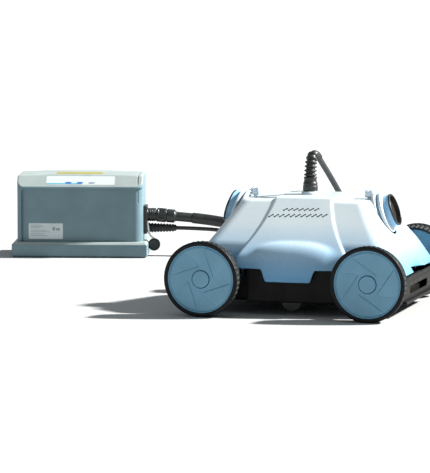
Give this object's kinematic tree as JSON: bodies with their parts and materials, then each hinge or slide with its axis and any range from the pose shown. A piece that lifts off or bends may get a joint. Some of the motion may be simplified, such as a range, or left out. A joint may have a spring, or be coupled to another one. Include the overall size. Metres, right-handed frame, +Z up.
{
  "type": "robotic pool cleaner",
  "caption": "Wheeled jet-driven pool cleaner with tilting outlet flaps, lift-out filter lid, floating cable and its own mains supply box.",
  "frame": {"origin": "on the floor under the middle of the robot, halfway between its four wheels", "axes": "+X towards the front nozzle, +Y away from the near side, +Z up; the supply box stands behind and to the rear, at negative X and positive Y"},
  "size_m": [0.9528, 0.9386, 0.2632],
  "materials": {
    "shell_blue": "glossy moulded plastic",
    "wheel_blue": "satin moulded plastic",
    "tyre_black": "matte rubber",
    "base_black": "satin moulded plastic",
    "fitting_black": "semi-gloss moulded plastic",
    "rubber_black": "soft moulded rubber",
    "cable_black": "satin cable sheath",
    "lead_black": "satin cable sheath",
    "tie_black": "woven hook-and-loop strap",
    "flap_amber": "satin",
    "knob_grey": "translucent-looking gloss",
    "steel": "brushed",
    "iron_core": "varnished laminations",
    "bearing_steel": "ground",
    "inner_grey": "matte",
    "filter_cloth": "fine woven mesh",
    "float_foam": "closed-cell foam",
    "board_green": "solder mask",
    "supply_grey": "satin moulded plastic",
    "label_white": "printed film",
    "pin_brass": "bright"
  },
  "bodies": {
    "chassis": {"top_shell": "shell_blue", "front_nozzle": "shell_blue", "rear_nozzle": "shell_blue", "cable_collar": "shell_blue", "axle_caps": "wheel_blue", "base_chassis": "base_black", "filter_lid": "base_black", "filter_frame": "base_black", "gland_nut": "fitting_black", "connector_body": "fitting_black", "output_socket": "fitting_black", "bend_boot": "rubber_black", "mains_gland": "rubber_black", "connector_boot": "rubber_black", "socket_cap": "rubber_black", "shaft_seal": "rubber_black", "mains_plug": "rubber_black", "cable_robot_end": "cable_black", "cable_coil": "cable_black", "cable_supply_end": "cable_black", "mains_lead": "lead_black", "mains_coil": "lead_black", "coil_ties": "tie_black", "axles": "steel", "shell_screws": "steel", "supply_transformer": "iron_core", "shaft_bearings": "bearing_steel", "motor_housing": "inner_grey", "motor_cap": "inner_grey", "jet_duct": "inner_grey", "filter_bag": "filter_cloth", "float_blocks": "float_foam", "control_board": "board_green", "supply_board": "board_green", "motor_lead": "lead_black", "supply_cover": "supply_grey", "supply_base": "supply_grey", "supply_labels": "label_white", "plug_pins": "pin_brass"},
    "front_near_wheel_body": {"front_near_wheel": "wheel_blue", "front_near_tyre": "tyre_black"},
    "front_far_wheel_body": {"front_far_wheel": "wheel_blue", "front_far_tyre": "tyre_black"},
    "rear_near_wheel_body": {"rear_near_wheel": "wheel_blue", "rear_near_tyre": "tyre_black"},
    "rear_far_wheel_body": {"rear_far_wheel": "wheel_blue", "rear_far_tyre": "tyre_black"},
    "rotor": {"motor_rotor": "iron_core", "motor_shaft": "steel", "impeller": "inner_grey"},
    "front_jet_flap_body": {"front_jet_flap": "flap_amber"},
    "rear_jet_flap_body": {"rear_jet_flap": "flap_amber"},
    "diverter_flap_body": {"diverter_flap": "flap_amber"},
    "front_intake_flap_body": {"front_intake_flap": "base_black"},
    "rear_intake_flap_body": {"rear_intake_flap": "base_black"},
    "near_lid_latch_body": {"near_lid_latch": "base_black"},
    "far_lid_latch_body": {"far_lid_latch": "base_black"},
    "front_lock_knob_body": {"front_lock_knob": "knob_grey"},
    "rear_lock_knob_body": {"rear_lock_knob": "knob_grey"},
    "connector_ring_body": {"connector_ring": "fitting_black"}
  },
  "joints": [
    {"name": "front_near_wheel_spin", "type": "hinge", "parent": "chassis", "child": "front_near_wheel_body", "pos_m": [0.14, -0.176, 0.0625], "axis": [0, 1, 0], "continuous": true},
    {"name": "front_far_wheel_spin", "type": "hinge", "parent": "chassis", "child": "front_far_wheel_body", "pos_m": [0.14, 0.176, 0.0625], "axis": [0, 1, 0], "continuous": true},
    {"name": "rear_near_wheel_spin", "type": "hinge", "parent": "chassis", "child": "rear_near_wheel_body", "pos_m": [-0.14, -0.176, 0.0625], "axis": [0, 1, 0], "continuous": true},
    {"name": "rear_far_wheel_spin", "type": "hinge", "parent": "chassis", "child": "rear_far_wheel_body", "pos_m": [-0.14, 0.176, 0.0625], "axis": [0, 1, 0], "continuous": true},
    {"name": "rotor_spin", "type": "hinge", "parent": "chassis", "child": "rotor", "pos_m": [0, 0, 0.08], "axis": [0, 0, 1], "continuous": true},
    {"name": "front_jet_flap_swing", "type": "hinge", "parent": "chassis", "child": "front_jet_flap_body", "pos_m": [0.12808, 0, 0.18513], "axis": [0, -1, 0], "range_deg": [0, 40]},
    {"name": "rear_jet_flap_swing", "type": "hinge", "parent": "chassis", "child": "rear_jet_flap_body", "pos_m": [-0.12808, 0, 0.18513], "axis": [0, 1, 0], "range_deg": [0, 40]},
    {"name": "diverter_swing", "type": "hinge", "parent": "chassis", "child": "diverter_flap_body", "pos_m": [0, 0, 0.152], "axis": [0, 1, 0], "range_deg": [-30, 30]},
    {"name": "front_intake_flap_swing", "type": "hinge", "parent": "chassis", "child": "front_intake_flap_body", "pos_m": [0.0165, 0, 0.023], "axis": [0, 1, 0], "range_deg": [0, 75]},
    {"name": "rear_intake_flap_swing", "type": "hinge", "parent": "chassis", "child": "rear_intake_flap_body", "pos_m": [-0.0165, 0, 0.023], "axis": [0, -1, 0], "range_deg": [0, 75]},
    {"name": "near_lid_latch_slide", "type": "slide", "parent": "chassis", "child": "near_lid_latch_body", "axis": [0, -1, 0], "range_m": [0, 0.008]},
    {"name": "far_lid_latch_slide", "type": "slide", "parent": "chassis", "child": "far_lid_latch_body", "axis": [0, 1, 0], "range_m": [0, 0.008]},
    {"name": "front_lock_knob_turn", "type": "hinge", "parent": "chassis", "child": "front_lock_knob_body", "pos_m": [0.098, 0, 0.189], "axis": [0, 0, 1], "range_deg": [0, 90]},
    {"name": "rear_lock_knob_turn", "type": "hinge", "parent": "chassis", "child": "rear_lock_knob_body", "pos_m": [-0.098, 0, 0.189], "axis": [0, 0, 1], "range_deg": [0, 90]},
    {"name": "connector_ring_turn", "type": "hinge", "parent": "chassis", "child": "connector_ring_body", "pos_m": [-0.46159, 0.67198, 0.0761], "axis": [0.9707, 0.2241, -0.0872], "range_deg": [0, 60]}
  ]
}
